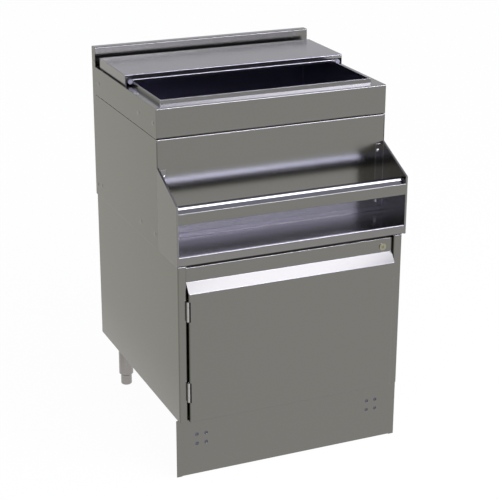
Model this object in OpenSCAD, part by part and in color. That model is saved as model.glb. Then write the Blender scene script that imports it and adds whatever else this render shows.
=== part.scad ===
// Underbar ice bin: an insulated bin with two sliding lids and a speed rail, over a cabinet on feet.
// X runs to the right, Y to the back, Z up. The origin is on the floor, in the middle of the
// footprint, half way between the face of the door and the back of the cabinet.

/* [Overall] */
// Width of the bench top, the speed rail and the kick panel
unit_w = 600; // [520:5:900]
// Depth from the front of the stiles to the back
body_d = 598; // [560:2:760]
// Height of the cabinet floor above the ground
leg_h = 156; // [140:1:220]
// Height of the lower cabinet
cab_h = 401.5; // [360:0.5:560]
// Height of the middle section
mid_h = 273.5; // [240:0.5:340]
// Height of the top section, up to the bench
top_h = 74; // [66:1:120]
// Height of the splashback above the bench
splash_h = 50.5; // [40:0.5:160]
// Depth of the hollow back channel under the splashback
channel_d = 25; // [20:0.5:40]
// Distance of the upper front behind the stiles
setback = 121.5; // [100:0.5:140]
// Thickness of the stainless steel sheet
sheet_t = 1.2; // [0.8:0.1:1.6]
// Inner radius of a bend in the sheet
bend_in = 1.8; // [0.6:0.1:2.4]

/* [Cabinet] */
// Distance of the lower cabinet's sides inside the unit's sides
cab_side_in = 5; // [4:0.5:40]
// Place of the cabinet's middle to the right of the unit's middle
cab_cx = -2; // [-4:0.5:4]
// Width of the front face of a stile
stile_w = 21.5; // [20:0.5:30]
// Depth of the turned in edge of a stile
stile_ret = 18; // [14:0.5:19]
// Height of the turned up front edge of the cabinet floor
floor_lip = 20; // [12:1:30]

/* [Door] */
// Distance of the door's main face in front of the stiles
door_proud = 11; // [8:0.5:16]
// Depth of the door behind the front of the stiles
door_in = 20; // [19:0.5:24]
// Gap between the door and each stile
door_gap = 1.6; // [1.5:0.1:3]
// Distance of the door's flat top strip behind the stiles
strip_back = 9; // [6:0.5:10]
// Height of that strip
strip_h = 36.8; // [34:0.2:60]
// Height of the sloping handle band
handle_h = 24.3; // [18:0.1:45]
// Gap above the door
door_top_gap = 7.3; // [4:0.1:9]
// Distance from the top of the door to the upper hinge
hinge_top_in = 80.5; // [72:0.5:120]
// Distance from the bottom of the door to the lower hinge
hinge_low_in = 53; // [30:1:110]
// Length of a hinge
hinge_l = 50; // [40:1:70]
// Radius of a hinge barrel
barrel_r = 3.8; // [3.2:0.1:4.6]
// Radius of a hinge pin
pin_r = 2; // [1.2:0.1:2.4]

/* [Lock] */
// Distance of the lock from the right edge of the door
lock_in = 25.4; // [24:0.2:45]
// Distance of the lock below the top of the door
lock_down = 22.1; // [20:0.1:24]
// Radius of the lock's flange
lock_flange_r = 9; // [8.6:0.1:10]
// Radius of the lock's body
lock_body_r = 7.8; // [7:0.1:8]
// Radius of the turning plug
plug_r = 5.5; // [4.6:0.1:6]
// Length of the cam from the lock's axis to its tip
cam_l = 40; // [36:0.5:48]
// Width of the cam
cam_w = 14; // [12:0.5:18]

/* [Speed rail] */
// Distance of the rail in front of the stiles
rail_proud = 4.5; // [2:0.5:12]
// Gap between the stiles' top and the underside of the rail
rail_gap = 1.9; // [1:0.1:6]
// Height of the tray's front lip
lip_h = 23; // [18:0.5:40]
// Height of the tray's upstand against the front panel
tray_up = 11.5; // [5:0.5:14]
// Height of the bar's underside above the tray floor
bar_gap = 77.5; // [50:0.5:90]
// Height of the bar's upright face
bar_face = 27.5; // [16:0.5:34]
// Depth of the bar's bevel
bevel_d = 12; // [6:0.5:16]
// Height of the bar's bevel
bevel_h = 6.5; // [3:0.5:9]
// Depth of the bar's top, which falls to the back
bar_top_d = 25.5; // [14:0.5:30]
// Height of the end plates at the front, above the bar
end_front_over = 7; // [4:0.5:14]
// Height of the end plates' slope from front to back
slope_h = 57.5; // [35:0.5:62]
// Width of the flange that fixes each end plate to the front panel
end_flange = 22; // [20:0.5:30]

/* [Bin] */
// Distance from the unit's side to the inside of the bin
bin_side_in = 27; // [25:0.5:60]
// Distance from the upper front to the inside of the bin
bin_front_in = 39.4; // [37:0.2:70]
// Distance from the back channel to the inside of the bin
bin_rear_in = 41; // [38:0.5:80]
// Height of the bin's floor above the base of the middle section
bin_floor_up = 42.5; // [42:0.5:100]
// Radius of the bin's upright corners
bin_r = 6; // [4:0.5:20]
// Height of the raised rim round the opening
rim_h = 9.5; // [7:0.5:10]
// Width of the slope on the rim's outside
rim_bevel = 2; // [1.5:0.5:8]
// Width of the flat top of the rim
rim_flat = 1.2; // [0.8:0.1:2]
// Height of the perforated false bottom above the bin floor
grid_h = 25; // [18:1:40]

/* [Lids] */
// Distance of the upper lid's side inside the unit's side
lid_side_in = 5.5; // [4.5:0.5:6]
// Gap between the upper lid and the splashback, lids pushed back
lid_back = 23; // [15:0.5:40]
// Length of the upper lid, front to back
lid_l = 198; // [150:1:205]
// Height of the upper lid above the bench
lid_h = 27.8; // [26:0.2:34]
// Height of the upper lid's front and rear edges
lid_edge = 9.5; // [7:0.5:10]
// Gap under the upper lid's sides
lid_lift = 2; // [1:0.2:4]
// Distance of the lower lid's front edge in front of the upper lid's
nest_out = 4; // [0:0.5:8]
// Length of the lower lid, front to back
nest_l = 204; // [150:1:208]
// Radius of the lower lid's nylon glides
glide_r = 6; // [5:0.2:6.2]
// Length of the lower lid's glides
glide_l = 16; // [10:1:24]

/* [Legs and kick panel] */
// Distance from the cabinet's side to the axis of a front leg
leg_front_in = 62; // [56:1:90]
// Distance from the cabinet's side to the axis of a rear leg
leg_rear_in = 57; // [48:1:90]
// Distance from the stiles' front to the front legs' axes
leg_front_y = 50.5; // [50:0.5:70]
// Distance from the back to the rear legs' axes
leg_rear_y = 26; // [26:0.5:80]
// Radius of the leg sleeves
sleeve_r = 19.5; // [18:0.5:20]
// Radius of the adjustable feet
foot_r = 15; // [12:0.5:16]
// Part of a foot below its sleeve
foot_out = 29; // [26:1:45]
// Distance of the kick panel behind the stiles' front
kick_in = 17; // [4:0.5:18]
// Gap between the kick panel and the cabinet
kick_gap = 2.2; // [2.2:0.2:8]
// Side spacing of the four holes in front of each leg
hole_x = 24; // [18:1:28]
// Height spacing of those holes
hole_z = 25; // [18:1:30]
// Radius of those holes
hole_r = 4.5; // [3:0.1:5.5]
// Height of the middle of the hole pattern
hole_mid_z = 96; // [60:1:110]

/* [Hidden] */
$fn = 48;

// Gap of a running fit, gap to a seat between bodies, and the overrun of a cut
fit_gap = 0.05;
seat_gap = 0.3;
over = 2;
// Steps of a bend, and the outer radius of a bend
bend_steps = 5;
bend_out = bend_in + sheet_t;

// Planes across the object, from the front to the back
y_face = -(body_d + door_proud) / 2;
y_cab = y_face + door_proud;
y_strip = y_cab + strip_back;
y_back = y_cab + body_d;
y_rail = y_cab - rail_proud;
y_top = y_cab + setback;
y_chan = y_back - channel_d;
y_kick = y_cab + kick_in;

// Levels, from the cabinet floor to the top of the splashback
z_cab0 = leg_h;
z_cab1 = z_cab0 + cab_h;
z_mid1 = z_cab1 + mid_h;
z_deck = z_mid1 + top_h;
z_splash = z_deck + splash_h;

// Half widths
unit_hw = unit_w / 2;
cab_hw = unit_hw - cab_side_in;
shell_hw = unit_hw - sheet_t;
cab_in_hw = cab_hw - sheet_t;
stile_x = cab_hw - stile_w;
door_hw = stile_x - door_gap;

// Cabinet: flanges of the back, header behind the door, laps under the middle section
back_flange = 15;
header_back = 22;
header_skirt = 20;
header_lap = 30;
rear_rail_d = 40;
rear_rail_h = 25;
cap_skirt = 8;
y_header = y_cab + header_back;

// Middle section: edges of its front and base
front_flange = 8;
base_flange = 12;
seam_gap = 1.5;
foam_t = 27;
y_foam0 = y_top + bin_front_in - sheet_t - foam_t;

// Strips that the side screws are driven into, and those screws
strip_t = 5;
strip_w = 25;
strip_end = 2;
screw_r = 2.5;
head_r = 5.5;
head_h = 2.4;
screw_len = 4;
screw_low = 35;
screw_high = 39;
screw_first = 21.5;
screw_second = 121.5;
screw_last = 24;
chan_screw_low = 28.5;
chan_screw_high = 36.9;
chan_screw_in = 13.5;
chan_strip_w = 18;
screw_ys = [y_top + screw_first, y_top + screw_second, y_chan - screw_last];
screw_zs = [z_cab1 + screw_low, z_deck - screw_high];
chan_screw_y = y_back - chan_screw_in;
chan_screw_zs = [z_cab1 + chan_screw_low, z_splash - chan_screw_high];

// Bench top: its rear flange and the hem of its front apron
deck_rear_flange = 25;
apron_hem = 8;
z_apron = z_mid1 + seam_gap;

// Bin: inner faces, and the rim round it
bin_hw = unit_hw - bin_side_in;
bin_y0 = y_top + bin_front_in;
bin_y1 = y_chan - bin_rear_in;
z_bin = z_cab1 + bin_floor_up;
z_rim = z_deck + rim_h;
rim_out = sheet_t + rim_flat;
foam_hw = shell_hw - strip_t;
y_foam1 = bin_y1 + sheet_t + foam_t;

// False bottom: plate, feet and hole pattern
grid_t = 1.5;
grid_gap = 3;
grid_hole_r = 6;
grid_pitch = 52;
grid_margin = 36;

// Drain, in the middle of the bin floor
drain_y = (bin_y0 + bin_y1) / 2;
drain_flange_r = 36;
drain_flange_t = 2.5;
drain_body_r = 24;
drain_bore_r = 17;
drain_cup_r = 21;
drain_cup_h = 8;
drain_hole_r = drain_body_r + 1 * seat_gap;
drain_drop = 20;
gasket_t = 1.5;
gasket_r = 33;
drain_nut_r = 34;
drain_nut_h = 8;
strainer_t = 1.5;
strainer_hole_r = 2.2;
strainer_ring_share = 0.6;
strainer_holes = 8;
tail_t = 2;
tail_in = 18;
tail_collar_r = 21;
tail_collar_h = 4;
spigot_r = 12.7;
spigot_l = 40;
hose_hole_r = 34;

// Speed rail: plates, hems, flange and screws
end_t = 1.5;
end_hem = 5;
tray_hem = 14;
bar_hem = 12;
bar_lip_d = 2.5;
bar_lip_h = 5;
bar_top_fall = 4.5;
bar_back_h = 9;
bar_bend = 0.8;
z_rail = z_cab1 + rail_gap;
z_tray = z_rail + lip_h;
z_bar0 = z_tray + bar_gap;
z_bar1 = z_bar0 + bar_face;
z_bar2 = z_bar1 + bevel_h;
z_bar3 = z_bar2 + bar_lip_h;
z_end0 = z_bar3 + end_front_over;
z_end1 = z_end0 + slope_h;
flange_top = 6.5;
flange_gap = 1.5;
rail_screw_r = 3;
rail_head_r = 5;
rail_head_h = 2.6;
rail_screw_in = 17;
rail_screw_top = 17;
rail_screw_low = 12.5;
rail_nut_r = 5.8;
rail_nut_h = 4.5;
rail_screw_l = 8;
z_flange0 = z_tray + tray_up + flange_gap;
z_flange1 = z_end1 - flange_top;
rail_screw_x = unit_hw - rail_screw_in;
rail_screw_zs = [z_flange0 + rail_screw_low, z_flange1 - rail_screw_top];

// Door: edges, handle and hinges
door_low_gap = 2;
z_door0 = z_cab0 + door_low_gap;
z_door1 = z_cab1 - door_top_gap;
z_strip = z_door1 - strip_h;
z_handle = z_strip - handle_h;
door_x0 = cab_cx - door_hw;
door_x1 = cab_cx + door_hw;
leaf_t = 1;
leaf_l = 16;
knuckle_share = 0.25;
hinge_clear = 0.6;
knuckle_gap = 0.3;
pin_over = 0.4;
hinge_x = door_x0 - door_gap / 2;
hinge_y = (y_face + y_cab) / 2;
hinge_zs = [z_door0 + hinge_low_in, z_door1 - hinge_top_in - hinge_l];
buffer_r = 5;
buffer_in = 60;
buffer_edge = 1;
buffer_t = header_back - door_in - seat_gap;

// Lock: flange, bore, plug, cam and screw
lock_x = door_x1 - lock_in;
lock_z = z_door1 - lock_down;
lock_flange_t = 2;
lock_end = 1;
lock_nut_r = 10.6;
lock_nut_t = 4;
plug_proud = 0.4;
key_w = 1.6;
key_l = 7;
key_deep = 6;
tang_w = 6;
cam_t = 2.5;
cam_gap = 0.3;
cam_screw_r = 2;
cam_screw_l = 8;
cam_head_r = 4.5;
cam_head_t = 2.2;
y_lock_end = y_cab + door_in + lock_end;
y_cam = y_lock_end + cam_gap;

// Lids: levels, sides, pads and glides
z_lid = z_deck + lid_h;
lid_hw = unit_hw - lid_side_in;
y_lid1 = y_chan - lid_back;
y_lid0 = y_lid1 - lid_l;
nest_under = 1.8;
nest_over_rim = 0.5;
nest_side_in = 0.2;
z_nest = z_lid - lid_edge - nest_under;
z_nest0 = z_rim + nest_over_rim;
nest_hw = bin_hw + rim_out - nest_side_in;
y_nest0 = y_lid0 - nest_out;
y_nest1 = y_nest0 + nest_l;
glide_gap = 0.5;
glide_in = 1;
glide_pin_r = 1.5;
glide_pin_drop = 3;
glide_x = nest_hw + glide_gap + glide_r;
rim_base_x = bin_hw + rim_out + rim_bevel;
rim_slope = norm([rim_h, rim_bevel]);
glide_z = z_deck + ((glide_r + seat_gap) * rim_slope - (glide_x - rim_base_x) * rim_h) / rim_bevel;
pad_t = 4.2;
pad_h = 9;
pad_l = 30;
pad_in = 3;

// Legs, feet and kick panel
leg_plate_w = 50;
leg_plate_t = 2;
leg_bolt_in = 6;
leg_bolt_r = 2.5;
leg_head_r = 4.4;
leg_head_h = 3;
leg_nut_r = 4.6;
leg_nut_h = 4;
sleeve_chamfer = 4;
foot_round = 4;
foot_up = 60;
z_sleeve = foot_out;
z_leg = z_cab0 - leg_plate_t;
leg_spots = [
    [cab_cx - cab_hw + leg_front_in, y_cab + leg_front_y],
    [cab_cx + cab_hw - leg_front_in, y_cab + leg_front_y],
    [cab_cx - cab_hw + leg_rear_in, y_back - leg_rear_y],
    [cab_cx + cab_hw - leg_rear_in, y_back - leg_rear_y]];
kick_hem = 8;
kick_relief = 14;
z_kick = z_cab0 - kick_gap;
clip_plate_w = 42;
clip_plate_t = 2;
clip_ring_t = 2.5;
clip_h = 22;
clip_web = 12;
clip_mouth_share = 0.8;

// A unit vector, the direction to its left, and a vector turned by an angle
function unit_of(v) = v / norm(v);
function left_of(v) = [-v[1], v[0]];
function spin(v, a) = [v[0] * cos(a) - v[1] * sin(a), v[0] * sin(a) + v[1] * cos(a)];

// The angle by which a path turns at its point i
function turn_at(p, i) =
    let (a = unit_of(p[i] - p[i - 1]), b = unit_of(p[i + 1] - p[i]))
    atan2(a[0] * b[1] - a[1] * b[0], a[0] * b[0] + a[1] * b[1]);

// Points round one bend of a sheet whose face follows path p, deep inside that face
function bend_pts(p, i, t, r, deep) =
    let (
        a = unit_of(p[i] - p[i - 1]),
        turn = turn_at(p, i),
        s = sign(turn),
        face_r = r + (s > 0 ? t : 0),
        c = p[i] - a * face_r * tan(abs(turn) / 2) + left_of(a) * s * face_r
    )
    [for (k = [0 : bend_steps]) c + spin(-left_of(a) * s, turn * k / bend_steps) * (face_r - s * deep)];

// One face of a bent sheet: the path itself, or the parallel line deep to its left
function face_pts(p, t, r, deep) =
    let (n = len(p) - 1)
    [
        p[0] + left_of(unit_of(p[1] - p[0])) * deep,
        for (i = [1 : n - 1]) each bend_pts(p, i, t, r, deep),
        p[n] + left_of(unit_of(p[n] - p[n - 1])) * deep
    ];

// Outline of a bent sheet of thickness t, to the left of path p
function sheet_pts(p, t, r) =
    let (back = face_pts(p, t, r, t), n = len(back) - 1)
    concat(face_pts(p, t, r, 0), [for (i = [0 : n]) back[n - i]]);

// Extrusions along each axis: children lie in the plane across it
module along_x(x0, x1) {
    translate([x0, 0, 0]) rotate([90, 0, 90]) linear_extrude(x1 - x0) children();
}
module along_y(y0, y1) {
    translate([0, y1, 0]) rotate([90, 0, 0]) linear_extrude(y1 - y0) children();
}
module along_z(z0, z1) {
    translate([0, 0, z0]) linear_extrude(z1 - z0) children();
}

// A bent sheet, and the area that the face of its path encloses
module bent(p, t = sheet_t, r = bend_in) {
    polygon(sheet_pts(p, t, r));
}
module filled(p, t = sheet_t, r = bend_in) {
    polygon(face_pts(p, t, r, 0));
}

// A block between two corners, and a round bar along Y or X
module block(a, b) {
    translate(a) cube(b - a);
}
module rod_y(x, z, r, y0, y1) {
    translate([x, y1, z]) rotate([90, 0, 0]) cylinder(r = r, h = y1 - y0);
}
module rod_x(y, z, r, x0, x1) {
    translate([x0, y, z]) rotate([0, 90, 0]) cylinder(r = r, h = x1 - x0);
}
module rod_z(x, y, r, z0, z1) {
    translate([x, y, z0]) cylinder(r = r, h = z1 - z0);
}
module both_sides() {
    children();
    mirror([1, 0, 0]) children();
}

// A rectangle with round corners
module round_rect(x0, x1, y0, y1, r) {
    translate([x0 + r, y0]) square([x1 - x0 - 2 * r, y1 - y0]);
    translate([x0, y0 + r]) square([x1 - x0, y1 - y0 - 2 * r]);
    for (x = [x0 + r, x1 - r])
        for (y = [y0 + r, y1 - r])
            translate([x, y]) circle(r = r);
}

// A pan head screw along +Z, its head on the plane Z = 0 and its shank below
module pan_screw(shank_r, shank_l, cap_r, cap_h) {
    crown_r = (cap_r * cap_r + cap_h * cap_h) / (2 * cap_h);
    rotate_extrude() {
        translate([0, -shank_l]) square([shank_r, shank_l + cap_h / 2]);
        intersection() {
            square([cap_r, cap_h]);
            translate([0, cap_h - crown_r]) circle(r = crown_r);
        }
    }
}

// A hexagon nut along +Z round a shank
module hex_nut(nut_r, nut_h, shank_r) {
    difference() {
        cylinder(r = nut_r, h = nut_h, $fn = 6);
        translate([0, 0, -over]) cylinder(r = shank_r + fit_gap, h = nut_h + 2 * over);
    }
}

// Left side of the cabinet about its own middle: side sheet, stile and the stile's turned in edge
module cab_side() {
    section = [[-cab_hw, y_back], [-cab_hw, y_cab], [-stile_x, y_cab], [-stile_x, y_cab + stile_ret]];
    solid_plan = [[-cab_hw, y_back], [-cab_hw, y_cab], [-stile_x, y_cab]];
    top_edge = [[y_back + over, z_cab1], [y_cab, z_cab1], [y_cab, z_cab0 - over]];
    cap = [[y_cab + stile_ret, z_cab1], [y_cab, z_cab1], [y_cab, z_cab1 - cap_skirt]];
    intersection() {
        along_z(z_cab0, z_cab1) bent(section);
        along_x(-cab_hw - over, -stile_x + over)
            polygon(concat(face_pts(top_edge, sheet_t, bend_in, 0), [[y_back + over, z_cab0 - over]]));
    }
    intersection() {
        along_x(-cab_hw, -stile_x) bent(cap);
        along_z(z_cab0, z_cab1)
            polygon(concat(face_pts(solid_plan, sheet_t, bend_in, 0), [[-stile_x, y_back]]));
    }
}
module cab_side_left() {
    color("#86857f") translate([cab_cx, 0, 0]) cab_side();
}
module cab_side_right() {
    color("#86857f") translate([cab_cx, 0, 0]) mirror([1, 0, 0]) cab_side();
}

// Back of the cabinet: a sheet with its edges turned forward
module cab_back() {
    p = [[cab_in_hw, y_back - back_flange], [cab_in_hw, y_back],
        [-cab_in_hw, y_back], [-cab_in_hw, y_back - back_flange]];
    color("#7c7b76") translate([cab_cx, 0, 0]) along_z(z_cab0 + sheet_t, z_cab1) bent(p);
}

// Floor of the cabinet: its front edge is turned up behind the door, and a hole lets the hose out
module cab_floor() {
    p = [[y_header, z_cab0 + floor_lip], [y_header, z_cab0], [y_back, z_cab0]];
    color("#7c7b76") difference() {
        translate([cab_cx, 0, 0]) along_x(-cab_in_hw, cab_in_hw) bent(p);
        rod_z(0, drain_y, hose_hole_r, z_cab0 - over, z_cab0 + sheet_t + over);
        leg_bolt_holes();
    }
}

// Header: cross rail over the door opening, which also closes the cabinet under the speed rail
module cab_header() {
    p = [[y_top + header_lap, z_cab1], [y_header, z_cab1], [y_header, z_cab1 - header_skirt]];
    color("#7c7b76") translate([cab_cx, 0, 0]) along_x(-cab_in_hw, cab_in_hw) bent(p);
}

// Rear rail: an angle across the top of the cabinet's back
module cab_rear_rail() {
    p = [[y_back - sheet_t, z_cab1 - rear_rail_h], [y_back - sheet_t, z_cab1],
        [y_back - sheet_t - rear_rail_d, z_cab1]];
    hw = cab_in_hw - bend_out;
    color("#7c7b76") translate([cab_cx, 0, 0]) along_x(-hw, hw) bent(p);
}

// Base sheet of the middle section, with its front and rear edges turned up
module mid_base() {
    p = [[y_top + sheet_t, z_cab1 + base_flange], [y_top + sheet_t, z_cab1],
        [y_chan, z_cab1], [y_chan, z_cab1 + base_flange]];
    color("#7c7b76") difference() {
        along_x(-shell_hw, shell_hw) bent(p);
        rod_z(0, drain_y, drain_hole_r, z_cab1 - over, z_cab1 + sheet_t + over);
        both_sides() block([shell_hw - bend_out, y_top, z_cab1 - over],
            [shell_hw + over, y_top + front_flange + seat_gap, z_cab1 + base_flange + over]);
    }
}

// Side sheet of the middle section, on the left
module mid_side() {
    difference() {
        block([-unit_hw, y_top, z_cab1], [-shell_hw, y_chan, z_mid1]);
        side_screw_holes();
    }
}
module mid_side_left() {
    color("#86857f") mid_side();
}
module mid_side_right() {
    color("#86857f") mirror([1, 0, 0]) mid_side();
}

// Front sheet of the middle section: its sides and its top edge are turned back
module mid_front() {
    plan = [[-shell_hw, y_top + front_flange], [-shell_hw, y_top],
        [shell_hw, y_top], [shell_hw, y_top + front_flange]];
    top_edge = [[y_top + front_flange, z_mid1], [y_top, z_mid1], [y_top, z_mid1 - front_flange]];
    color("#7b7976") difference() {
        union() {
            along_z(z_cab1, z_mid1 - bend_out) bent(plan, r = bend_in / 3);
            along_x(-shell_hw, shell_hw) bent(top_edge);
        }
        rail_screw_holes();
    }
}

// Back channel: back sheet, closed sides, top of the splashback and its front
module back_panel() {
    p = [[y_back, z_cab1], [y_back, z_splash], [y_chan, z_splash], [y_chan, z_deck - deck_rear_flange]];
    cheek = [[y_back, z_cab1], [y_back, z_splash], [y_chan, z_splash], [y_chan, z_cab1]];
    color("#86857f") difference() {
        union() {
            along_x(-unit_hw, unit_hw) bent(p);
            both_sides() along_x(-unit_hw, -shell_hw) filled(cheek);
        }
        side_screw_holes();
        mirror([1, 0, 0]) side_screw_holes();
    }
}

// Every place of a side screw on the left, as [y, z]
side_spots = concat(
    [for (y = screw_ys) for (z = screw_zs) [y, z]],
    [for (z = chan_screw_zs) [chan_screw_y, z]]);

module side_screw_holes() {
    for (s = side_spots)
        rod_x(s[0], s[1], screw_r + fit_gap, -unit_hw - over, -shell_hw + screw_len);
}

// Flat bars inside the side sheets, which join the sections and take the side screws
module tapping_strips() {
    z0 = z_cab1 + sheet_t + strip_end;
    z1 = z_deck - sheet_t - strip_end;
    color("#6f6e6a") both_sides() difference() {
        union() {
            for (y = screw_ys)
                block([-shell_hw, y - strip_w / 2, z0], [-foam_hw, y + strip_w / 2, z1]);
            block([-shell_hw, chan_screw_y - chan_strip_w / 2, z0],
                [-foam_hw, chan_screw_y + chan_strip_w / 2, z_splash - sheet_t - strip_end]);
        }
        side_screw_holes();
    }
}

// Side screws with round heads
module side_screws() {
    color("#8a8984") both_sides()
        for (s = side_spots)
            translate([-unit_hw, s[0], s[1]]) rotate([0, -90, 0])
                pan_screw(screw_r, sheet_t + screw_len - fit_gap, head_r, head_h);
}

// Bench top: deck, front apron with a hem, side aprons and a rear flange
module bench_top() {
    p = [[y_chan, z_deck - deck_rear_flange], [y_chan, z_deck], [y_top, z_deck],
        [y_top, z_apron], [y_top + apron_hem, z_apron]];
    cheek = [[y_chan, z_apron], [y_chan, z_deck], [y_top, z_deck], [y_top, z_apron]];
    color("#86857f") difference() {
        union() {
            along_x(-unit_hw, unit_hw) bent(p);
            both_sides() along_x(-unit_hw, -shell_hw) filled(cheek);
        }
        along_z(z_deck - 2 * sheet_t, z_deck + over) bin_plan(sheet_t);
        side_screw_holes();
        mirror([1, 0, 0]) side_screw_holes();
    }
}

// Plan of the bin, grown outwards
module bin_plan(grow) {
    round_rect(-bin_hw - grow, bin_hw + grow, bin_y0 - grow, bin_y1 + grow, bin_r + grow);
}

// Raised rim: sloping outside, mitred at the corners, upright inside
module bin_rim() {
    base = rim_out + rim_bevel;
    side = [[-bin_hw - base, z_deck], [bin_hw + base, z_deck],
        [bin_hw + rim_out, z_rim], [-bin_hw - rim_out, z_rim]];
    ends = [[bin_y0 - base, z_deck], [bin_y1 + base, z_deck],
        [bin_y1 + rim_out, z_rim], [bin_y0 - rim_out, z_rim]];
    color("#6c6c6b") difference() {
        intersection() {
            along_y(bin_y0 - base, bin_y1 + base) polygon(side);
            along_x(-bin_hw - base, bin_hw + base) polygon(ends);
        }
        along_z(z_deck - over, z_rim + over) bin_plan(sheet_t);
    }
}

// Bin liner: a welded tub with a drain hole
module bin_liner() {
    color("#23232c") difference() {
        along_z(z_bin - sheet_t, z_rim) bin_plan(sheet_t);
        along_z(z_bin, z_rim + over) bin_plan(0);
        rod_z(0, drain_y, drain_hole_r, z_bin - sheet_t - over, z_bin + over);
    }
}

// Foamed insulation round the liner
module bin_insulation() {
    color("#e0d3a4") difference() {
        block([-foam_hw, y_foam0, z_cab1 + sheet_t], [foam_hw, y_foam1, z_deck - sheet_t]);
        along_z(z_bin - sheet_t, z_deck + over) bin_plan(sheet_t);
        rod_z(0, drain_y, drain_hole_r, z_cab1 - over, z_deck);
    }
}

// False bottom: a perforated plate on two turned down edges, which keeps ice out of the melt water
module false_bottom() {
    hw = bin_hw - grid_gap;
    y0 = bin_y0 + grid_gap;
    y1 = bin_y1 - grid_gap;
    p = [[hw, z_bin], [hw, z_bin + grid_h], [-hw, z_bin + grid_h], [-hw, z_bin]];
    nx = floor((hw - grid_margin) / grid_pitch);
    ny = floor((y1 - y0 - 2 * grid_margin) / 2 / grid_pitch);
    color("#5c5c60") difference() {
        along_y(y0, y1) bent(p, t = grid_t);
        for (i = [-nx : nx])
            for (j = [-ny : ny])
                rod_z(i * grid_pitch, drain_y + j * grid_pitch, grid_hole_r,
                    z_bin + grid_h - grid_t - over, z_bin + grid_h + over);
    }
}

// Drain body: flange on the bin floor, and a threaded tube down through the insulation
module drain_body() {
    z_top = z_bin + gasket_t + drain_flange_t;
    color("#b9b9b4") difference() {
        union() {
            rod_z(0, drain_y, drain_flange_r, z_bin + gasket_t, z_top);
            rod_z(0, drain_y, drain_body_r, z_cab1 - drain_drop, z_top - drain_flange_t / 2);
        }
        rod_z(0, drain_y, drain_bore_r, z_cab1 - drain_drop - over, z_top + over);
        rod_z(0, drain_y, drain_cup_r, z_top - drain_cup_h, z_top + over);
    }
}
module drain_gasket() {
    color("#2b2b2b") difference() {
        rod_z(0, drain_y, gasket_r, z_bin, z_bin + gasket_t);
        rod_z(0, drain_y, drain_body_r + fit_gap, z_bin - over, z_bin + gasket_t + over);
    }
}
module drain_nut() {
    color("#b9b9b4") translate([0, drain_y, z_cab1 - drain_nut_h])
        hex_nut(drain_nut_r, drain_nut_h, drain_body_r);
}
module drain_strainer() {
    z0 = z_bin + gasket_t + drain_flange_t - drain_cup_h;
    color("#8d8d8a") difference() {
        rod_z(0, drain_y, drain_cup_r - fit_gap, z0, z0 + strainer_t);
        for (k = [0 : strainer_holes - 1])
            translate([0, drain_y, 0]) rotate([0, 0, k * 360 / strainer_holes])
                rod_z(drain_bore_r * strainer_ring_share, 0, strainer_hole_r,
                    z0 - over, z0 + strainer_t + over);
        rod_z(0, drain_y, strainer_hole_r, z0 - over, z0 + strainer_t + over);
    }
}

// Tail piece pushed up into the drain body as far as its collar: a hose goes on its spigot
module drain_tail() {
    z_end = z_cab1 - drain_drop;
    z_spigot = z_end - tail_collar_h;
    color("#d8d8d4") difference() {
        union() {
            rod_z(0, drain_y, drain_bore_r - fit_gap, z_spigot, z_end + tail_in);
            rod_z(0, drain_y, tail_collar_r, z_spigot, z_end);
            rod_z(0, drain_y, spigot_r, z_spigot - spigot_l, z_end);
        }
        rod_z(0, drain_y, spigot_r - tail_t, z_spigot - spigot_l - over, z_end + tail_in + over);
    }
}

// Speed rail end plate, on the left: sheet, hemmed front and slope, and the fixing flange
module rail_end() {
    outline = [[y_top, z_rail], [y_rail, z_rail], [y_rail, z_end0], [y_top, z_end1]];
    slope = [y_top - y_rail, slope_h];
    inner = left_of(unit_of(slope)) * -sheet_t;
    front = [[y_rail, z_rail], [y_rail, z_end0], [y_rail + sheet_t, z_end0 + sheet_t * slope_h / setback],
        [y_rail + sheet_t, z_rail]];
    top = [[y_rail, z_end0], [y_top, z_end1], [y_top, z_end1] + [0, inner[1]], [y_rail, z_end0 + inner[1]]];
    difference() {
        union() {
            along_x(-unit_hw, -unit_hw + end_t) polygon(outline);
            along_x(-unit_hw, -unit_hw + end_hem) polygon(front);
            along_x(-unit_hw, -unit_hw + end_hem) polygon(top);
            block([-unit_hw, y_top - sheet_t, z_flange0], [-unit_hw + end_t + end_flange, y_top, z_flange1]);
        }
        rail_screw_holes();
    }
}
module rail_end_left() {
    color("#86857f") rail_end();
}
module rail_end_right() {
    color("#86857f") mirror([1, 0, 0]) rail_end();
}
module rail_screw_holes() {
    for (x = [-rail_screw_x, rail_screw_x])
        for (z = rail_screw_zs)
            rod_y(x, z, rail_screw_r + fit_gap, y_top - over, y_top + over);
}

// Front bar of the speed rail, with a turned in lower edge
module rail_bar() {
    y1 = y_rail + bevel_d;
    y2 = y1 + bar_lip_d;
    y3 = y2 + bar_top_d;
    z3 = z_bar3 - bar_top_fall;
    p = [[y3, z3 - bar_back_h], [y3, z3], [y2, z_bar3], [y1, z_bar2], [y_rail, z_bar1], [y_rail, z_bar0],
        [y_rail + bar_hem, z_bar0]];
    hw = unit_hw - end_hem;
    color("#7b7976") along_x(-hw, hw) bent(p, r = bar_bend);
}

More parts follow.
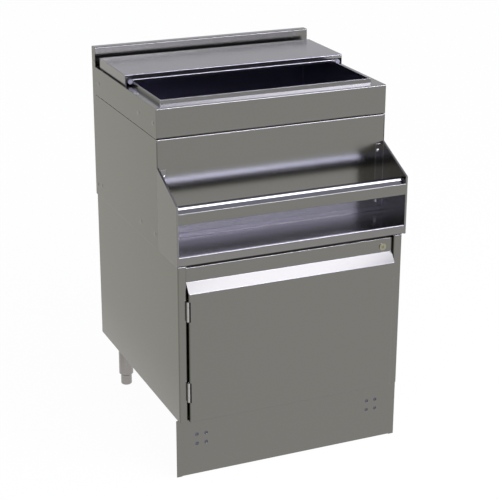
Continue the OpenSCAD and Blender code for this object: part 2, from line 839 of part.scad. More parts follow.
// Tray of the speed rail: upstand, floor and front lip with a hem
module rail_tray() {
    y0 = y_top - sheet_t;
    p = [[y0, z_tray + tray_up], [y0, z_tray], [y_rail, z_tray], [y_rail, z_rail],
        [y_rail + tray_hem, z_rail]];
    hw = unit_hw - end_t;
    hem_hw = unit_hw - end_hem;
    color("#6b6a75") difference() {
        along_x(-hw, hw) bent(p);
        both_sides() block([-unit_hw, y_rail - over, z_rail - over],
            [-hem_hw, y_rail + sheet_t, z_tray + over]);
    }
}
module rail_screws() {
    color("#a5a5a0")
        for (x = [-rail_screw_x, rail_screw_x])
            for (z = rail_screw_zs)
                translate([x, y_top - sheet_t, z]) rotate([90, 0, 0])
                    pan_screw(rail_screw_r, rail_screw_l, rail_head_r, rail_head_h);
}
module rail_nuts() {
    color("#a5a5a0")
        for (x = [-rail_screw_x, rail_screw_x])
            for (z = rail_screw_zs)
                translate([x, y_top + sheet_t, z]) rotate([-90, 0, 0])
                    hex_nut(rail_nut_r, rail_nut_h, rail_screw_r);
}

// One hinge leaf with its share of the barrel: knuckles is a list of [from, to] shares
module hinge_leaf(z0, leaf_x, knuckles) {
    clear_y = hinge_y + barrel_r + hinge_clear;
    difference() {
        union() {
            block([leaf_x, clear_y, z0], [leaf_x + leaf_t, y_cab + leaf_l, z0 + hinge_l]);
            for (k = knuckles) {
                za = z0 + k[0] * hinge_l + knuckle_gap / 2;
                zb = z0 + k[1] * hinge_l - knuckle_gap / 2;
                rod_z(hinge_x, hinge_y, barrel_r, za, zb);
                block([leaf_x, hinge_y, za], [leaf_x + leaf_t, clear_y + sheet_t, zb]);
            }
        }
        rod_z(hinge_x, hinge_y, pin_r + fit_gap, z0 - over, z0 + hinge_l + over);
    }
}
module hinge_frame_leaves() {
    color("#8a8984")
        for (z = hinge_zs)
            hinge_leaf(z, cab_cx - stile_x, [[0, knuckle_share], [1 - knuckle_share, 1]]);
}
module hinge_door_leaves() {
    color("#8a8984")
        for (z = hinge_zs)
            hinge_leaf(z, door_x0 + sheet_t, [[knuckle_share, 1 - knuckle_share]]);
}
module hinge_pins() {
    color("#b0b0ab")
        for (z = hinge_zs)
            rod_z(hinge_x, hinge_y, pin_r, z - pin_over, z + hinge_l + pin_over);
}

// Rubber buffers on the floor lip and the header, which the door closes on
module door_buffers() {
    color("#1f1f1f") {
        for (x = [door_x0 + buffer_in, door_x1 - buffer_in])
            rod_y(x, z_cab0 + floor_lip / 2, buffer_r, y_header - buffer_t, y_header);
        rod_y(door_x0 + buffer_in, z_cab1 - header_skirt + buffer_edge + buffer_r, buffer_r,
            y_header - buffer_t, y_header);
    }
}

// Door skin: strip, handle band, main face, closed sides and notches for the hinges
module door_skin() {
    y_in = y_cab + door_in;
    side = [[y_in, z_door1], [y_strip, z_door1], [y_strip, z_strip], [y_face, z_handle],
        [y_face, z_door0], [y_in, z_door0]];
    plan = [[door_x0, y_in], [door_x0, y_face], [door_x1, y_face], [door_x1, y_in]];
    notch_x = hinge_x + barrel_r + hinge_clear;
    notch_y = hinge_y + barrel_r + hinge_clear;
    color("#7b7976") difference() {
        union() {
            intersection() {
                along_x(door_x0, door_x1) bent(side);
                along_z(z_door0, z_door1) filled(plan);
            }
            intersection() {
                along_z(z_door0, z_door1) bent(plan);
                along_x(door_x0, door_x1) filled(side);
            }
        }
        for (z = hinge_zs)
            block([door_x0 - over, y_face - over, z - hinge_clear],
                [notch_x, notch_y, z + hinge_l + hinge_clear]);
        rod_y(lock_x, lock_z, lock_body_r + fit_gap, y_strip - over, y_strip + sheet_t + over);
    }
}

// Back sheet of the door
module door_back() {
    y1 = y_cab + door_in;
    color("#7b7976") difference() {
        block([door_x0 + sheet_t, y1 - sheet_t, z_door0 + sheet_t],
            [door_x1 - sheet_t, y1, z_door1 - sheet_t]);
        rod_y(lock_x, lock_z, lock_body_r + fit_gap, y1 - sheet_t - over, y1 + over);
    }
}

// Lock body: flange in front of the strip and a threaded body through the door
module lock_body() {
    color("#a9a493") difference() {
        union() {
            rod_y(lock_x, lock_z, lock_flange_r, y_strip - lock_flange_t, y_strip);
            rod_y(lock_x, lock_z, lock_body_r, y_strip - lock_flange_t / 2, y_lock_end);
        }
        rod_y(lock_x, lock_z, plug_r + fit_gap, y_strip - lock_flange_t - over, y_lock_end + over);
    }
}
module lock_nut() {
    color("#a9a493") translate([lock_x, y_strip + sheet_t, lock_z]) rotate([-90, 0, 0])
        hex_nut(lock_nut_r, lock_nut_t, lock_body_r);
}

// Turning plug with a keyway in front and a square tang behind
module lock_plug() {
    y0 = y_strip - lock_flange_t - plug_proud;
    color("#c4bfae") difference() {
        union() {
            rod_y(lock_x, lock_z, plug_r, y0, y_lock_end);
            block([lock_x - tang_w / 2, y_lock_end - cam_gap, lock_z - tang_w / 2],
                [lock_x + tang_w / 2, y_cam + cam_t, lock_z + tang_w / 2]);
        }
        block([lock_x - key_w / 2, y0 - over, lock_z - key_l / 2],
            [lock_x + key_w / 2, y0 + key_deep, lock_z + key_l / 2]);
        rod_y(lock_x, lock_z, cam_screw_r + fit_gap, y_cam + cam_t - cam_screw_l, y_cam + cam_t + over);
    }
}

// Cam behind the door: hangs down unlocked, and turns behind the right stile to lock
module lock_cam() {
    color("#a9a493") difference() {
        union() {
            rod_y(lock_x, lock_z, cam_w / 2, y_cam, y_cam + cam_t);
            block([lock_x - cam_w / 2, y_cam, lock_z - cam_l], [lock_x + cam_w / 2, y_cam + cam_t, lock_z]);
        }
        block([lock_x - tang_w / 2 - fit_gap, y_cam - over, lock_z - tang_w / 2 - fit_gap],
            [lock_x + tang_w / 2 + fit_gap, y_cam + cam_t + over, lock_z + tang_w / 2 + fit_gap]);
    }
}
module cam_screw() {
    color("#c4bfae") translate([lock_x, y_cam + cam_t, lock_z]) rotate([-90, 0, 0])
        pan_screw(cam_screw_r, cam_screw_l - fit_gap, cam_head_r, cam_head_t);
}

// A lid: its top with front and rear edges, and the outline of its sides
module lid_top(y0, y1, z1, edge) {
    bent([[y1, z1 - edge], [y1, z1], [y0, z1], [y0, z1 - edge]], r = bend_in / 2);
}
module lid_side(y0, y1, z1, z_side) {
    filled([[y1, z_side], [y1, z1], [y0, z1], [y0, z_side]], r = bend_in / 2);
}
module upper_lid() {
    color("#8f8f8c") along_x(-lid_hw, lid_hw) lid_top(y_lid0, y_lid1, z_lid, lid_edge);
}

// Side plates welded under the upper lid's ends
module upper_lid_sides() {
    color("#8f8f8c") both_sides() along_x(-lid_hw, -lid_hw + sheet_t) difference() {
        lid_side(y_lid0, y_lid1, z_lid, z_deck + lid_lift);
        lid_top(y_lid0, y_lid1, z_lid, lid_edge);
    }
}

// Slide pads inside the upper lid's sides, which carry it on the bench
module upper_lid_pads() {
    z0 = z_deck + seat_gap;
    x0 = -lid_hw + sheet_t;
    color("#1d1d1f") both_sides()
        for (y = [y_lid0 + pad_in, y_lid1 - pad_in - pad_l])
            block([x0, y, z0], [x0 + pad_t, y + pad_l, z0 + pad_h]);
}
module lower_lid() {
    color("#8f8f8c") difference() {
        union() {
            along_x(-nest_hw, nest_hw) lid_top(y_nest0, y_nest1, z_nest, z_nest - z_nest0);
            both_sides() along_x(-nest_hw, -nest_hw + sheet_t)
                lid_side(y_nest0, y_nest1, z_nest, z_nest0);
        }
        glide_pins(fit_gap);
    }
}

// Places of the glides along the lower lid
glide_ys = [y_nest0 + glide_in, y_nest1 - glide_in - glide_l];
module glide_pins(grow) {
    both_sides()
        for (y = glide_ys)
            rod_x(y + glide_l / 2, z_nest - glide_pin_drop, glide_pin_r + grow,
                -nest_hw - glide_gap - glide_r / 2, -nest_hw + sheet_t + fit_gap);
}

// Nylon glides at the lower lid's corners, which guide it along the rim's slope
module lower_lid_glides() {
    color("#e9e7e2") {
        both_sides()
            for (y = glide_ys)
                rod_y(-glide_x, glide_z, glide_r, y, y + glide_l);
        glide_pins(0);
    }
}

// Kick panel: a sheet with its top and bottom edges turned back and two hole patterns
module kick_panel() {
    p = [[y_kick + kick_hem, z_kick], [y_kick, z_kick], [y_kick, 0], [y_kick + kick_hem, 0]];
    hem_hw = unit_hw - kick_relief;
    color("#777571") difference() {
        union() {
            along_x(-hem_hw, hem_hw) bent(p);
            both_sides() block([-unit_hw, y_kick, 0], [-hem_hw, y_kick + sheet_t, z_kick]);
        }
        for (k = [0, 1])
            for (x = [-hole_x / 2, hole_x / 2])
                for (z = [-hole_z / 2, hole_z / 2])
                    rod_y(leg_spots[k][0] + x, hole_mid_z + z, hole_r,
                        y_kick - over, y_kick + sheet_t + over);
    }
}

// Clips that hold the kick panel on the front legs: plate, web and spring ring open to the back
module kick_clips() {
    y0 = y_kick + sheet_t;
    ring_in = sleeve_r + fit_gap;
    ring_out = sleeve_r + clip_ring_t;
    mouth = sleeve_r * clip_mouth_share;
    color("#5b5b60")
        for (k = [0, 1]) {
            x = leg_spots[k][0];
            y = leg_spots[k][1];
            block([x - clip_plate_w / 2, y0, hole_mid_z - clip_plate_w / 2],
                [x + clip_plate_w / 2, y0 + clip_plate_t, hole_mid_z + clip_plate_w / 2]);
            along_z(hole_mid_z - clip_h / 2, hole_mid_z + clip_h / 2) difference() {
                union() {
                    translate([x, y]) circle(r = ring_out);
                    translate([x - clip_web / 2, y0 + clip_plate_t / 2]) square([clip_web, y - y0]);
                }
                translate([x, y]) circle(r = ring_in);
                translate([x - mouth, y]) square([2 * mouth, ring_out + over]);
            }
        }
}

// Legs: plate bolted under the floor, sleeve, and a foot that screws up and down in it
module leg_bolt_spots() {
    d = leg_plate_w / 2 - leg_bolt_in;
    for (s = leg_spots)
        for (x = [-d, d])
            for (y = [-d, d])
                translate([s[0] + x, s[1] + y, 0]) children();
}
module leg_bolt_holes() {
    leg_bolt_spots() rod_z(0, 0, leg_bolt_r + fit_gap, z_leg - over, z_cab0 + sheet_t + over);
}
module leg_plates() {
    color("#8a8984") difference() {
        for (s = leg_spots)
            translate([s[0], s[1], 0]) block([-leg_plate_w / 2, -leg_plate_w / 2, z_leg],
                [leg_plate_w / 2, leg_plate_w / 2, z_cab0]);
        leg_bolt_holes();
    }
}
module leg_bolts() {
    color("#a5a5a0") leg_bolt_spots() translate([0, 0, z_leg]) rotate([180, 0, 0])
        pan_screw(leg_bolt_r, leg_plate_t + sheet_t + leg_nut_h, leg_head_r, leg_head_h);
}
module leg_nuts() {
    color("#a5a5a0") leg_bolt_spots() translate([0, 0, z_cab0 + sheet_t])
        hex_nut(leg_nut_r, leg_nut_h, leg_bolt_r);
}
module leg_sleeves() {
    color("#878482")
        for (s = leg_spots)
            translate([s[0], s[1], 0]) rotate_extrude() polygon([
                [foot_r + fit_gap, z_sleeve], [sleeve_r - sleeve_chamfer, z_sleeve],
                [sleeve_r, z_sleeve + sleeve_chamfer], [sleeve_r, z_leg], [foot_r + fit_gap, z_leg]]);
}

// An adjustable foot: a plain barrel in the sleeve with a rounded sole
module foot(k) {
    color("#878482") translate([leg_spots[k][0], leg_spots[k][1], 0]) rotate_extrude() {
        square([foot_r - foot_round, foot_out + foot_up]);
        translate([0, foot_round]) square([foot_r, foot_out + foot_up - foot_round]);
        intersection() {
            translate([foot_r - foot_round, foot_round]) circle(r = foot_round);
            square([foot_r, foot_out]);
        }
    }
}
module foot_front_left() {
    foot(0);
}
module foot_front_right() {
    foot(1);
}
module foot_rear_left() {
    foot(2);
}
module foot_rear_right() {
    foot(3);
}

cab_side_left();
cab_side_right();
cab_back();
cab_floor();
cab_header();
cab_rear_rail();
mid_base();
mid_side_left();
mid_side_right();
mid_front();
back_panel();
tapping_strips();
side_screws();
bench_top();
bin_rim();
bin_liner();
bin_insulation();
false_bottom();
drain_body();
drain_gasket();
drain_nut();
drain_strainer();
drain_tail();
rail_end_left();
rail_end_right();
rail_bar();
rail_tray();
rail_screws();
rail_nuts();
hinge_frame_leaves();
hinge_pins();
door_buffers();
door_skin();
door_back();
hinge_door_leaves();
lock_body();
lock_nut();
lock_plug();
lock_cam();
cam_screw();
upper_lid();
upper_lid_sides();
upper_lid_pads();
lower_lid();
lower_lid_glides();
kick_panel();
kick_clips();
leg_plates();
leg_bolts();
leg_nuts();
leg_sleeves();
foot_front_left();
foot_front_right();
foot_rear_left();
foot_rear_right();
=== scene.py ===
# %% [markdown]
# # Dressing a stainless steel ice bin
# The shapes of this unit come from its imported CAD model: bent sheet, tube, screws and mouldings.
# Nothing is added to them. Blender gives each piece the look of its steel, nylon, rubber or foam,
# and the surroundings that satin steel needs to look like steel. Everything is in metres, in the
# same frame as the CAD model, so nothing has to be fitted.

# %% Load the frame
import bpy
import math
from mathutils import Matrix, Vector

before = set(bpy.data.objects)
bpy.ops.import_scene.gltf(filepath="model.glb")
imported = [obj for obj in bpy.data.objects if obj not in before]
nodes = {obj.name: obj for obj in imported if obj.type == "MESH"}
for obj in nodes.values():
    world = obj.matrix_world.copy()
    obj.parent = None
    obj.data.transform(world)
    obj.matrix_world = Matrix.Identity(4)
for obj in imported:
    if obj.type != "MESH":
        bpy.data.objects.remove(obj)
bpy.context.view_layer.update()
MM = 0.001
print("nodes in the frame:", len(nodes))

# %% [markdown]
# ## The camera
# The place, the angles and the lens were worked out from edges of the photograph whose real sizes
# are known. A camera's own axes could be set with a track constraint, but a matrix holds the small
# roll as well, so the three axes are worked out here and put in as columns.

# %% Camera
CAMERA_PLACE = Vector((-1.40009, -3.24160, 1.77534))
YAW, PITCH, ROLL = 0.410707, -0.357323, 0.0037119
FOCAL_PIXELS = 1460.1446
PICTURE_WIDTH = 499
SENSOR = 36
CLIP_END = 60


def camera_axes(yaw, pitch, roll):
    """The camera's right, upward and backward axes."""
    forward = Vector((math.sin(yaw) * math.cos(pitch), math.cos(yaw) * math.cos(pitch), math.sin(pitch)))
    level = Vector((math.cos(yaw), -math.sin(yaw), 0))
    upward = level.cross(forward)
    across = math.cos(roll) * level + math.sin(roll) * upward
    above = math.cos(roll) * upward - math.sin(roll) * level
    return across, above, -forward


camera = bpy.data.objects.new("camera", bpy.data.cameras.new("camera"))
bpy.context.scene.collection.objects.link(camera)
columns = [*camera_axes(YAW, PITCH, ROLL), CAMERA_PLACE]
camera.matrix_world = Matrix([[c[row] for c in columns] for row in range(3)] + [(0, 0, 0, 1)])
camera.data.sensor_fit = "HORIZONTAL"
camera.data.sensor_width = SENSOR
camera.data.lens = FOCAL_PIXELS / PICTURE_WIDTH * SENSOR
camera.data.clip_end = CLIP_END
bpy.context.scene.camera = camera
bpy.context.scene.view_settings.view_transform = "Standard"
print("lens in mm:", round(camera.data.lens, 2))

# %% [markdown]
# ## Colours and nodes
# A hex colour is written as it looks on a screen, and Blender wants light, so one function turns
# one into the other. `add` makes a node, sets it and links it in one line, which keeps a material
# readable from the top down. The four after it are the nodes that come back in most materials.

# %% Colour and node helpers


def light(colour):
    """A hex colour as linear red, green, blue and alpha."""
    parts = [int(colour[i:i + 2], 16) / 255 for i in (1, 3, 5)]
    return [p / 12.92 if p < 0.04045 else ((p + 0.055) / 1.055) ** 2.4 for p in parts] + [1]


def shade(colour, factor):
    """A linear colour made darker or paler."""
    return [part * factor for part in colour[:3]] + [1]


def add(tree, kind, settings=(), **inputs):
    """Adds a node. settings are its own choices, and an input gets a value or another node's output."""
    made = tree.nodes.new(kind)
    for key, value in dict(settings).items():
        setattr(made, key, value)
    for key, value in inputs.items():
        socket = made.inputs[int(key[1:])] if key[1:].isdigit() else made.inputs[key.replace("_", " ")]
        if isinstance(value, bpy.types.NodeSocket):
            tree.links.new(value, socket)
        else:
            socket.default_value = value
    return made


def join(tree, operation, first, second):
    """Two values through one math node."""
    return add(tree, "ShaderNodeMath", {"operation": operation}, i0=first, i1=second).outputs[0]


def ramp(tree, value, start, end, first=0.0, last=1.0, kind="LINEAR"):
    """Runs from first to last while value runs from start to end."""
    made = add(tree, "ShaderNodeMapRange", {"interpolation_type": kind}, Value=value, From_Min=start,
               From_Max=end, To_Min=first, To_Max=last)
    return made.outputs[0]


def blend(tree, share, first, second):
    """A colour between first and second."""
    return add(tree, "ShaderNodeMix", {"data_type": "RGBA"}, i0=share, i6=first, i7=second).outputs[2]


def noise(tree, place, scale, detail, roughness=0.5):
    """Noise from 0 to 1, with scale lumps to a metre."""
    made = add(tree, "ShaderNodeTexNoise", Vector=place, Scale=scale, Detail=detail, Roughness=roughness)
    return made.outputs[0]


def new_material(name):
    """An empty material with its tree."""
    made = bpy.data.materials.new(name)
    made.use_nodes = True
    made.node_tree.nodes.clear()
    return made, made.node_tree


def close_material(tree, tone, rough, height, strength, depth, edges=None, **skin_inputs):
    """The last nodes of each material: its relief, its skin and its output."""
    under = {"Normal": edges} if edges else {}
    relief = add(tree, "ShaderNodeBump", Height=height, Strength=strength, Distance=depth, **under)
    skin = add(tree, "ShaderNodeBsdfPrincipled", Base_Color=tone, Roughness=rough, Normal=relief.outputs[0],
               **skin_inputs)
    add(tree, "ShaderNodeOutputMaterial", Surface=skin.outputs[0])


# %% [markdown]
# ## Floor
# The photograph has a plain white ground. The floor is one pale sheet. Lit by lamps alone it would
# be grey at one end and burnt out at the other, so most of its white is its own glow, as the camera
# and the steel's reflections see it, and the small rest is lit and holds a soft shadow. Upright
# steel shows the floor. The left side shows it dimmer and warmer than the front does, so the floor
# to the left of the unit is toned down for reflections, and stays white for the camera.

# %% Floor
FLOOR_HALF = 14.0
FLOOR_WHITE = "#ffffff"
FLOOR_DIFFUSE = "#f2f1ee"
FLOOR_LEFT = "#e3e1da"
LEFT_FULL, LEFT_NONE = -0.5, -0.32      # where across the floor its left tone is full, and gone
WHITE_SHARE = 0.96

floor_mesh = bpy.data.meshes.new("studio_floor")
floor_corners = [(x * FLOOR_HALF, y * FLOOR_HALF, 0) for x, y in ((-1, -1), (1, -1), (1, 1), (-1, 1))]
floor_mesh.from_pydata(floor_corners, [], [(0, 1, 2, 3)])
floor = bpy.data.objects.new("studio_floor", floor_mesh)
bpy.context.scene.collection.objects.link(floor)
floor_paint, tree = new_material("floor_pale_paper")
rays = add(tree, "ShaderNodeLightPath").outputs
seen = join(tree, "MAXIMUM", rays["Is Camera Ray"], rays["Is Glossy Ray"])
seen = join(tree, "MAXIMUM", seen, rays["Is Transmission Ray"])
share = join(tree, "MULTIPLY", seen, WHITE_SHARE)
paper = add(tree, "ShaderNodeBsdfDiffuse", Color=light(FLOOR_DIFFUSE))
place = add(tree, "ShaderNodeTexCoord").outputs["Object"]
across = add(tree, "ShaderNodeSeparateXYZ", Vector=place).outputs["X"]
bright = ramp(tree, across, LEFT_FULL, LEFT_NONE)
bright = join(tree, "MAXIMUM", bright, rays["Is Camera Ray"])
white = blend(tree, bright, light(FLOOR_LEFT), light(FLOOR_WHITE))
white = add(tree, "ShaderNodeEmission", Color=white, Strength=1.0)
both = add(tree, "ShaderNodeMixShader", i0=share, i1=paper.outputs[0], i2=white.outputs[0])
add(tree, "ShaderNodeOutputMaterial", Surface=both.outputs[0])
floor_mesh.materials.append(floor_paint)

# %% [markdown]
# ## World
# Satin steel shows mostly what stands round it, so each bright place in the photograph was traced
# back along its ray to what must stand there. Upward faces show an even sky that is a little bluer
# overhead, and a pale blue wall in front that begins some way over the horizon. A picture of a
# studio would hold the same, but two ramps over the height and one over the depth need no file.
# The camera itself sees plain white over the floor's edge.

# %% World
SIDE_SKY = "#ffffff"
HIGH_SKY = "#e4e4f4"
FRONT_GLOW = "#c8c8ee"
SKY_STRENGTH = 0.8
GLOW_STRENGTH = 2.6
HIGH_FROM = 0.6                         # heights here are sines of the angle over the horizon
GLOW_FROM, GLOW_TO = 0.30, 0.50
GLOW_SOFT, GLOW_FADE = 0.07, 0.2        # how softly the wall's glow begins, and how far it fades upward
AHEAD_FULL, AHEAD_NONE = -0.3, 0.1      # the glow stands in front, where Y is negative

world = bpy.data.worlds.new("studio")
bpy.context.scene.world = world
world.use_nodes = True
tree = world.node_tree
tree.nodes.clear()
place = add(tree, "ShaderNodeTexCoord").outputs["Generated"]
toward = add(tree, "ShaderNodeSeparateXYZ", Vector=place).outputs
high = ramp(tree, toward["Z"], 0.0, HIGH_FROM)
tone = blend(tree, high, light(SIDE_SKY), light(HIGH_SKY))
sky = add(tree, "ShaderNodeBackground", Color=tone, Strength=SKY_STRENGTH)
rise = ramp(tree, toward["Z"], GLOW_FROM - GLOW_SOFT, GLOW_FROM + GLOW_SOFT, kind="SMOOTHSTEP")
fall = ramp(tree, toward["Z"], GLOW_TO, GLOW_TO + GLOW_FADE, 1.0, 0.0, kind="SMOOTHSTEP")
ahead = ramp(tree, toward["Y"], AHEAD_FULL, AHEAD_NONE, 1.0, 0.0, kind="SMOOTHSTEP")
wall = join(tree, "MULTIPLY", join(tree, "MULTIPLY", rise, fall), ahead)
power = join(tree, "MULTIPLY", wall, GLOW_STRENGTH)
glow = add(tree, "ShaderNodeBackground", Color=light(FRONT_GLOW), Strength=power)
studio = add(tree, "ShaderNodeAddShader", i0=sky.outputs[0], i1=glow.outputs[0])
plain = add(tree, "ShaderNodeBackground", Color=light(FLOOR_WHITE), Strength=1.0)
rays = add(tree, "ShaderNodeLightPath").outputs
both = add(tree, "ShaderNodeMixShader", i0=rays["Is Camera Ray"], i1=studio.outputs[0], i2=plain.outputs[0])
add(tree, "ShaderNodeOutputWorld", Surface=both.outputs[0])

# %% [markdown]
# ## Lamps
# Three wide softboxes stand in front and are tilted down at the unit. The low near one shows in the
# door's slanted handle, the far one in the top of the speed rail's bar, and the thin one draws
# lines along the bends. Spot lamps would light the steel as well, but it would then show round dots
# and not bands.

# %% Lamps


def softbox(name, place, target, width, depth, watts, tint):
    """A rectangular lamp at place, turned to face target."""
    lamp = bpy.data.lights.new(name, "AREA")
    lamp.shape = "RECTANGLE"
    lamp.size = width
    lamp.size_y = depth
    lamp.energy = watts
    lamp.color = light(tint)[:3]
    made = bpy.data.objects.new(name, lamp)
    made.location = place
    made.rotation_euler = (Vector(target) - Vector(place)).to_track_quat("-Z", "Y").to_euler()
    bpy.context.scene.collection.objects.link(made)
    print(name, "shows as", round(watts / (math.pi * width * depth), 2))


softbox("softbox_handle", (0.45, -0.90, 1.43), (0, -0.29, 0.5), 1.5, 0.4, 9.0, "#f2f2ff")
softbox("softbox_front", (1.02, -3.0, 2.75), (0, -0.25, 0.8), 3.2, 0.62, 60, "#dcdcff")
softbox("softbox_edges", (1.78, -4.4, 3.10), (0, -0.25, 0.85), 4.0, 0.16, 60, "#ececff")

# %% [markdown]
# ## Satin stainless steel
# The sheet is stainless steel ground to a satin finish with fine belts, so it shows very fine
# straight lines and blurred reflections. Aniso shading could draw the lines, but it leaves the
# model in other viewers, so the lines are a long thin noise that changes roughness, tone and bump.
# Each part was ground along its length before it was bent, and gets its grain along that axis.
# A bevel node rounds the shading at each fold, as bent sheet has no sharp edge. Level faces can be
# painted paler and bluer: a painted reflection of the sky on them.

# %% Satin steel
GRAIN_LENGTH = 70 * MM
GRAIN_WIDTH = 1.1 * MM      # real grinding lines are about 0.05 mm apart: drawn coarser to show at all
GRAIN_DETAIL = 3.0
GRAIN_SHARPNESS = 0.65
GRAIN_DEPTH = 0.004 * MM
GRAIN_STRENGTH = 0.04
HANDLING_SIZE = 160 * MM    # size of the faint cloudy marks that wiping leaves
HANDLING_SHARE = 0.5
MIXED_LOW, MIXED_HIGH = 0.4, 1.1        # the grain and the marks together mostly lie between these
BEND_RADIUS = 1.2 * MM
BEND_SAMPLES = 6
LEVEL_FROM = 0.8            # upward part of the normal from which a face starts to count as level


def satin_steel(name, colour, along, roughness=0.18, tone_spread=0.02, rough_spread=0.025, painted_sky_reflection=None):
    """Ground stainless steel, grain along axis 0, 1 or 2. Its last colour is a painted sky reflection on
    level faces.
    """
    made, tree = new_material(name)
    place = add(tree, "ShaderNodeTexCoord").outputs
    stretch = [1 / GRAIN_WIDTH] * 3
    stretch[along] = 1 / GRAIN_LENGTH
    lines_at = add(tree, "ShaderNodeMapping", Vector=place["Object"], Scale=stretch).outputs[0]
    lines = noise(tree, lines_at, 1.0, GRAIN_DETAIL, GRAIN_SHARPNESS)
    marks = noise(tree, place["Object"], 1 / HANDLING_SIZE, 2.0)
    mixed = add(tree, "ShaderNodeMath", {"operation": "MULTIPLY_ADD"}, i0=marks, i1=HANDLING_SHARE, i2=lines)
    base = light(colour)
    tone = blend(tree, lines, shade(base, 1 - tone_spread), shade(base, 1 + tone_spread))
    # Upward faces are blended to a paler, bluer colour: a painted reflection of the sky, not wear.
    if painted_sky_reflection:
        facing = add(tree, "ShaderNodeSeparateXYZ", Vector=place["Normal"]).outputs["Z"]
        tone = blend(tree, ramp(tree, facing, LEVEL_FROM, 1.0), tone, light(painted_sky_reflection))
    smoothest, roughest = roughness - rough_spread, roughness + rough_spread
    rough = ramp(tree, mixed.outputs[0], MIXED_LOW, MIXED_HIGH, smoothest, roughest)
    bends = add(tree, "ShaderNodeBevel", {"samples": BEND_SAMPLES}, Radius=BEND_RADIUS).outputs[0]
    close_material(tree, tone, rough, lines, GRAIN_STRENGTH, GRAIN_DEPTH, edges=bends, Metallic=1.0)
    return made


def dress(material, *names):
    """Gives the material to CAD nodes, in every slot they have."""
    for name in names:
        mesh = nodes[name].data
        if not mesh.materials:
            mesh.materials.append(material)
        for slot in range(len(mesh.materials)):
            mesh.materials[slot] = material
        dressed.add(name)
    print(material.name, "on", len(names), "nodes")


dressed = set()
STEEL = "#797873"
steel_across = satin_steel("satin_stainless_sheet_ground_across", STEEL, 0)
steel_upright = satin_steel("satin_stainless_sheet_ground_upright", STEEL, 2)
dress(steel_across, "mid_front", "back_panel", "bench_top", "bin_rim", "door_skin", "door_back", "kick_panel")
dress(steel_upright, "cab_side_left", "cab_side_right", "mid_side_left", "mid_side_right")

# %% [markdown]
# ## Steel with another finish
# The lids are ground finer than the body. The level faces of the tray and the bar of the speed rail
# get a painted reflection of the sky. The bin is deep, so its steel goes dark by itself; the liner is
# tinted blue, a painted tint of the shade in the bin. Sheets inside the body keep the dull mill finish.

# %% Other sheet
lid_steel = satin_steel("fine_satin_stainless_lid", "#8c8b8b", 0, roughness=0.19)
rail_steel = satin_steel("satin_stainless_rail_plate", "#807f7d", 1)
# On the bar and the tray the last colour is a painted reflection of the sky on their level faces.
bar_steel = satin_steel("satin_stainless_rail_bar", STEEL, 0, painted_sky_reflection="#8c8e96")
tray_steel = satin_steel("satin_stainless_tray", "#807e7c", 0, painted_sky_reflection="#aeadb5")
# The liner's blue tint is painted shade colour: it makes the shade inside the deep bin look navy.
bin_steel = satin_steel("stainless_liner_tinted_blue_for_shade", "#aaaab7", 0)
mill_steel = satin_steel("mill_finish_stainless", "#85847f", 0, roughness=0.38, tone_spread=0.08)
dress(lid_steel, "upper_lid", "upper_lid_sides", "lower_lid")
dress(rail_steel, "rail_end_left", "rail_end_right")
dress(bar_steel, "rail_bar")
dress(tray_steel, "rail_tray")
dress(bin_steel, "bin_liner", "false_bottom")
dress(mill_steel, "cab_back", "cab_floor", "cab_header", "cab_rear_rail", "mid_base", "tapping_strips",
      "leg_plates")

# %% [markdown]
# ## Turned and tube steel
# Screws, hinge barrels and feet are turned or drawn round, so their fine lines run round them. A
# wave texture in rings could draw that for one part, but noise that is squeezed along Z does it for
# every upright tube at once, and it has no regular bands.

# %% Turned steel
TURNING_PITCH = 0.9 * MM    # real tool marks are 0.1 mm apart: drawn coarser
TURNING_ACROSS = 30         # lumps to a metre across the part, so few that a line runs on round it
TURNING_DEPTH = 0.01 * MM
TURNING_STRENGTH = 0.2
TURNING_TONE = 0.07
TURNING_ROUGH = 0.05


def turned_steel(name, colour, roughness):
    """Steel with fine lines round an upright axis."""
    made, tree = new_material(name)
    place = add(tree, "ShaderNodeTexCoord").outputs["Object"]
    squeeze = (TURNING_ACROSS, TURNING_ACROSS, 1 / TURNING_PITCH)
    squeezed = add(tree, "ShaderNodeMapping", Vector=place, Scale=squeeze).outputs[0]
    rings = noise(tree, squeezed, 1.0, 2.0)
    base = light(colour)
    tone = blend(tree, rings, shade(base, 1 - TURNING_TONE), shade(base, 1 + TURNING_TONE))
    rough = ramp(tree, rings, 0.0, 1.0, roughness - TURNING_ROUGH, roughness + TURNING_ROUGH)
    close_material(tree, tone, rough, rings, TURNING_STRENGTH, TURNING_DEPTH, Metallic=1.0)
    return made


tube_steel = turned_steel("satin_stainless_tube", "#94908d", 0.28)
screw_steel = turned_steel("turned_stainless_fastener", "#9c9a98", 0.24)
hinge_steel = turned_steel("polished_stainless_hinge", "#b2b0b0", 0.2)
dress(tube_steel, "leg_sleeves", "foot_front_left", "foot_front_right", "foot_rear_left", "foot_rear_right")
dress(screw_steel, "side_screws", "rail_screws", "rail_nuts", "leg_bolts", "leg_nuts", "drain_strainer")
dress(hinge_steel, "hinge_frame_leaves", "hinge_door_leaves", "hinge_pins")

# %% [markdown]
# ## Nickel plated zinc
# The cam lock is die cast zinc with a bright nickel plate. Nickel is faintly yellow beside steel.
# It is smooth, with small soft pits of the casting under the plate. A flat gloss would pass from a
# step away, and the pits keep it from looking like glass close by.

# %% Nickel
PIT_SIZE = 1.4 * MM
PIT_DEPTH = 0.02 * MM
PIT_STRENGTH = 0.15
PIT_TONE = 0.94
PLATE_ROUGH = 0.16
PLATE_ROUGH_LESS, PLATE_ROUGH_MORE = 0.04, 0.06

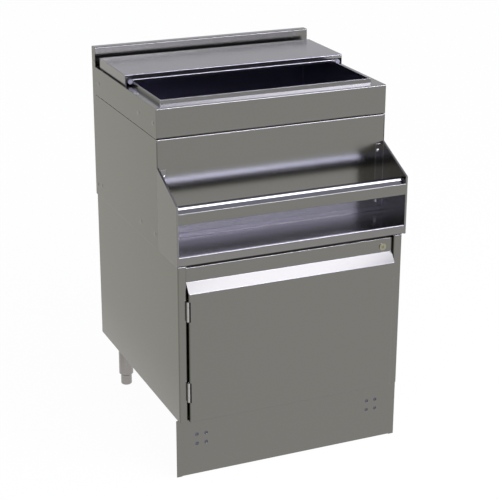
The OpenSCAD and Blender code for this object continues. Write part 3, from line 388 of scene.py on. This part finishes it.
nickel, tree = new_material("nickel_plated_zinc")
place = add(tree, "ShaderNodeTexCoord").outputs["Object"]
pits = noise(tree, place, 1 / PIT_SIZE, 2.0)
base = light("#979480")
tone = blend(tree, pits, shade(base, PIT_TONE), base)
rough = ramp(tree, pits, 0.0, 1.0, PLATE_ROUGH - PLATE_ROUGH_LESS, PLATE_ROUGH + PLATE_ROUGH_MORE)
close_material(tree, tone, rough, pits, PIT_STRENGTH, PIT_DEPTH, Metallic=1.0)
dress(nickel, "lock_body", "lock_nut", "lock_plug", "lock_cam", "cam_screw")

# %% [markdown]
# ## Plastics, rubber and foam
# These are small pieces. Moulded plastic shows a fine spark eroded texture and slight tone changes,
# rubber is rougher with a bloom, and the foam has cells. One function holds them all, because they
# differ only in colour, gloss, the size of the texture and its depth.

# %% Plastics
MOULDED_STRENGTH = 0.5
MOULDED_ROUGH = 0.08
BROAD_SHARE = 0.12          # the tone changes over lumps eight times as broad as the texture's


def moulded(name, colour, second, roughness, grain, depth, ior):
    """A moulded or foamed material: grain and depth are its texture's size and depth in mm."""
    made, tree = new_material(name)
    place = add(tree, "ShaderNodeTexCoord").outputs["Object"]
    fine = noise(tree, place, 1 / (grain * MM), 3.0)
    broad = noise(tree, place, BROAD_SHARE / (grain * MM), 1.0)
    tone = blend(tree, broad, light(colour), light(second))
    rough = ramp(tree, fine, 0.0, 1.0, roughness - MOULDED_ROUGH, roughness + MOULDED_ROUGH)
    close_material(tree, tone, rough, fine, MOULDED_STRENGTH, depth * MM, IOR=ior)
    return made


# The lid pads are black where the inside of the lid's front flange lies in shade: painted shade.
pad = moulded("lid_pad_painted_black_as_shade", "#141416", "#1f1f22", 0.5, 0.8, 0.03, 1.5)
glide = moulded("grey_nylon_glide", "#77767c", "#838288", 0.35, 0.9, 0.02, 1.53)
drain = moulded("white_polypropylene_drain", "#dcdcd6", "#e8e8e3", 0.42, 1.0, 0.03, 1.49)
clip = moulded("dark_polypropylene_clip", "#3b3b40", "#48484d", 0.48, 1.0, 0.03, 1.49)
rubber = moulded("black_rubber", "#1a1a1a", "#262624", 0.72, 0.7, 0.05, 1.52)
foam = moulded("cream_polyurethane_foam", "#d9c894", "#e6d8ad", 0.85, 1.6, 0.3, 1.4)
dress(pad, "upper_lid_pads")
dress(glide, "lower_lid_glides")
dress(drain, "drain_body", "drain_nut", "drain_tail")
dress(clip, "kick_clips")
dress(rubber, "drain_gasket", "door_buffers")
dress(foam, "bin_insulation")
print("nodes without a finish:", sorted(set(nodes) - dressed))
